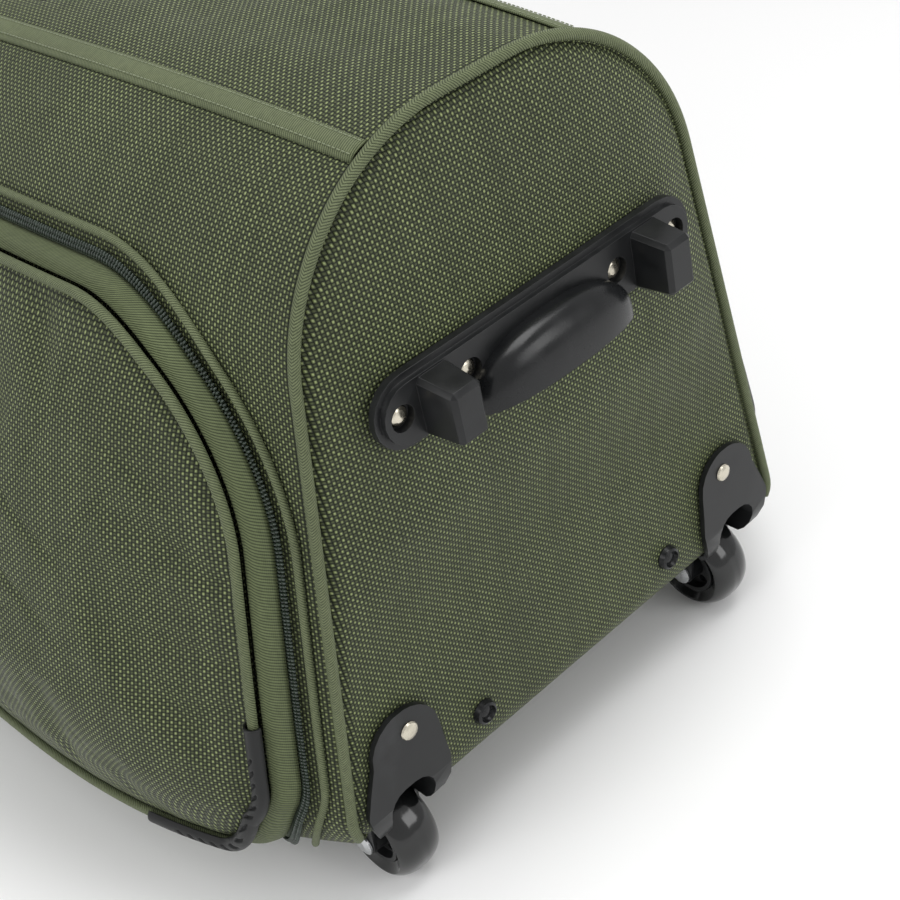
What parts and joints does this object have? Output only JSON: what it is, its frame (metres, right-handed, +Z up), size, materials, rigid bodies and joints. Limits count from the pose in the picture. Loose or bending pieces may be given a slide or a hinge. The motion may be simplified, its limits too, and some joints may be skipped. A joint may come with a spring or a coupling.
{
  "type": "rolling travel duffel",
  "caption": "Soft wheeled travel duffel lying on its back: domed wheel-end panel with foot bar and grab cup, zipped side pockets, zipped top flap and telescopic trolley handle.",
  "frame": {"origin": "bottom centre of the bounding box: on the floor under the middle of the bag as it lies on its back", "axes": "+X towards the wheel end, +Y towards the far long side, +Z up, from the bag's back to its front"},
  "size_m": [0.7652, 0.4916, 0.4387],
  "materials": {
    "olive_fabric": "coarse woven polyester, dark olive green",
    "olive_trim": "herringbone tape and piping, olive green",
    "base_board": "lined stiffening board",
    "black_plastic": "satin moulded black plastic",
    "black_rubber": "soft-touch black rubber",
    "wheel_tyre": "glossy black polyurethane",
    "zip_coil": "glossy nylon coil, very dark green",
    "nickel": "polished nickel-plated brass",
    "steel": "zinc-plated steel",
    "aluminium": "anodised tube"
  },
  "bodies": {
    "root": {"back_panel": "olive_fabric", "base_board": "base_board", "end_handle": "olive_trim", "far_axle_bolt": "steel", "far_binding_tape": "olive_trim", "far_cup_washer": "black_plastic", "far_housing_rivet": "nickel", "far_outer_tube": "aluminium", "far_pocket_zip_coil": "zip_coil", "far_side_panel": "olive_fabric", "far_skid_rail": "black_plastic", "far_wheel_housing": "black_plastic", "foot_bar": "black_plastic", "foot_bar_rivets": "nickel", "grab_cup": "black_plastic", "handle_end_panel": "olive_fabric", "handle_end_piping": "olive_trim", "near_axle_bolt": "steel", "near_binding_tape": "olive_trim", "near_cup_washer": "black_plastic", "near_housing_rivet": "nickel", "near_outer_tube": "aluminium", "near_pocket_zip_coil": "zip_coil", "near_side_panel": "olive_fabric", "near_skid_rail": "black_plastic", "near_wheel_housing": "black_plastic", "top_panel": "olive_fabric", "top_zip_frame_coil": "zip_coil", "trolley_bezel": "black_plastic", "wheel_end_panel": "olive_fabric", "wheel_end_piping": "olive_trim"},
    "near_wheel": {"near_wheel_tyre": "wheel_tyre", "near_wheel_hub": "black_plastic"},
    "near_pocket": {"near_pocket_gusset": "olive_trim", "near_pocket_piping": "olive_trim", "near_pocket_panel": "olive_fabric", "near_front_corner_guard": "black_rubber", "near_rear_corner_guard": "black_rubber"},
    "near_zip_slider": {"near_pocket_slider": "nickel"},
    "near_zip_puller": {"near_pocket_puller": "nickel"},
    "far_wheel": {"far_wheel_tyre": "wheel_tyre", "far_wheel_hub": "black_plastic"},
    "far_pocket": {"far_pocket_gusset": "olive_trim", "far_pocket_piping": "olive_trim", "far_pocket_panel": "olive_fabric", "far_front_corner_guard": "black_rubber", "far_rear_corner_guard": "black_rubber"},
    "far_zip_slider": {"far_pocket_slider": "nickel"},
    "far_zip_puller": {"far_pocket_puller": "nickel"},
    "trolley_handle": {"near_inner_tube": "aluminium", "far_inner_tube": "aluminium", "trolley_grip": "black_rubber"},
    "grip_button": {"grip_button": "black_plastic"},
    "flap": {"top_flap": "olive_fabric", "top_zip_flap_coil": "zip_coil"},
    "flap_slider": {"top_zip_slider": "nickel"},
    "flap_puller": {"top_zip_puller": "nickel"}
  },
  "joints": [
    {"name": "near_wheel_spin", "type": "hinge", "parent": "root", "child": "near_wheel", "pos_m": [0.3115, -0.133, 0.03], "axis": [0, 1, 0], "continuous": true},
    {"name": "far_wheel_spin", "type": "hinge", "parent": "root", "child": "far_wheel", "pos_m": [0.3115, 0.133, 0.03], "axis": [0, 1, 0], "continuous": true},
    {"name": "trolley_slide", "type": "slide", "parent": "root", "child": "trolley_handle", "axis": [-1, 0, 0], "range_m": [0, 0.42]},
    {"name": "button_press", "type": "slide", "parent": "trolley_handle", "child": "grip_button", "axis": [1, 0, 0], "range_m": [0, 0.003], "stiffness_N_per_m": 400},
    {"name": "flap_lift", "type": "hinge", "parent": "root", "child": "flap", "pos_m": [-0.109, -0.0465, 0.4271], "axis": [1, 0, 0], "range_deg": [0, 110]},
    {"name": "flap_zip", "type": "slide", "parent": "flap", "child": "flap_slider", "axis": [1, 0, 0], "range_m": [-0.11, 0.03]},
    {"name": "flap_pull", "type": "hinge", "parent": "flap_slider", "child": "flap_puller", "pos_m": [0.0022, 0.0462, 0.43654], "axis": [0, 1, 0], "range_deg": [0, 150]},
    {"name": "near_pocket_open", "type": "hinge", "parent": "root", "child": "near_pocket", "pos_m": [0.001, -0.20756, 0.0294], "axis": [1, 0, 0], "range_deg": [0, 50]},
    {"name": "near_zip_slide", "type": "slide", "parent": "near_pocket", "child": "near_zip_slider", "axis": [1, 0, 0], "range_m": [-0.09, 0.03]},
    {"name": "near_pull", "type": "hinge", "parent": "near_zip_slider", "child": "near_zip_puller", "pos_m": [0.0022, -0.14293, 0.3626], "axis": [0, 0.4064, 0.9137], "range_deg": [0, 150]},
    {"name": "far_pocket_open", "type": "hinge", "parent": "root", "child": "far_pocket", "pos_m": [0.001, 0.20756, 0.0294], "axis": [-1, 0, 0], "range_deg": [0, 50]},
    {"name": "far_zip_slide", "type": "slide", "parent": "far_pocket", "child": "far_zip_slider", "axis": [1, 0, 0], "range_m": [-0.09, 0.03]},
    {"name": "far_pull", "type": "hinge", "parent": "far_zip_slider", "child": "far_zip_puller", "pos_m": [0.0022, 0.14293, 0.3626], "axis": [0, 0.4064, -0.9137], "range_deg": [0, 150]}
  ]
}
